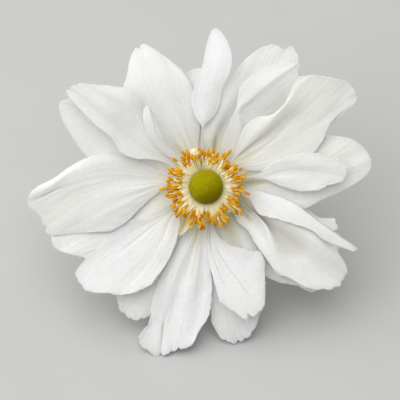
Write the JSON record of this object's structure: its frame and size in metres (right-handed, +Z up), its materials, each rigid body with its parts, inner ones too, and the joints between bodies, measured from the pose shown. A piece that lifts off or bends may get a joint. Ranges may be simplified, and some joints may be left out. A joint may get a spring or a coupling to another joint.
{
  "type": "japanese anemone flower",
  "caption": "Semi-double white japanese anemone with ruffled tepals, golden stamens and a green carpel head, picked with a short curved stem and lying with its face up.",
  "frame": {"origin": "on the surface that the flower lies on, at the centre of the bounding box's footprint", "axes": "+Z up from the surface; the flower faces -Y and up; its stem lies away towards +Y; +X is to the right of someone who looks at its face"},
  "size_m": [0.0856, 0.0872, 0.0535],
  "materials": {
    "tepal": "soft satin white, finely veined, slightly translucent",
    "petaloid": "cream and tan, satin",
    "anther": "powdery orange yellow heads on pale cream threads",
    "carpel": "matte, finely pimpled olive green",
    "stem": "satin green with fine down and a brownish flush"
  },
  "bodies": {
    "root": {"carpel_head": "carpel", "petaloid_ball": "petaloid", "petaloid_curled": "petaloid", "receptacle_and_stem": "stem", "stamen_01": "anther", "stamen_02": "anther", "stamen_03": "anther", "stamen_04": "anther", "stamen_05": "anther", "stamen_06": "anther", "stamen_07": "anther", "stamen_08": "anther", "stamen_09": "anther", "stamen_10": "anther", "stamen_11": "anther", "stamen_12": "anther", "stamen_13": "anther", "stamen_14": "anther", "stamen_15": "anther", "stamen_16": "anther", "stamen_17": "anther", "stamen_18": "anther", "stamen_19": "anther", "stamen_20": "anther", "stamen_21": "anther", "stamen_22": "anther", "stamen_23": "anther", "stamen_24": "anther", "stamen_25": "anther", "stamen_26": "anther", "stamen_27": "anther", "stamen_28": "anther", "stamen_29": "anther", "stamen_30": "anther", "stamen_31": "anther", "stamen_32": "anther", "stamen_33": "anther", "tepal_10_back": "tepal", "tepal_10_front": "tepal", "tepal_11_back": "tepal", "tepal_11_front": "tepal", "tepal_11_tongue": "tepal", "tepal_12_front": "tepal", "tepal_1_back": "tepal", "tepal_1_front": "tepal", "tepal_2_front": "tepal", "tepal_3_back": "tepal", "tepal_3_front": "tepal", "tepal_4_back": "tepal", "tepal_4_front": "tepal", "tepal_5_back": "tepal", "tepal_5_front": "tepal", "tepal_5_inner": "tepal", "tepal_6_front": "tepal", "tepal_7_back": "tepal", "tepal_7_front": "tepal", "tepal_8_back": "tepal", "tepal_9_front": "tepal"}
  },
  "joints": []
}
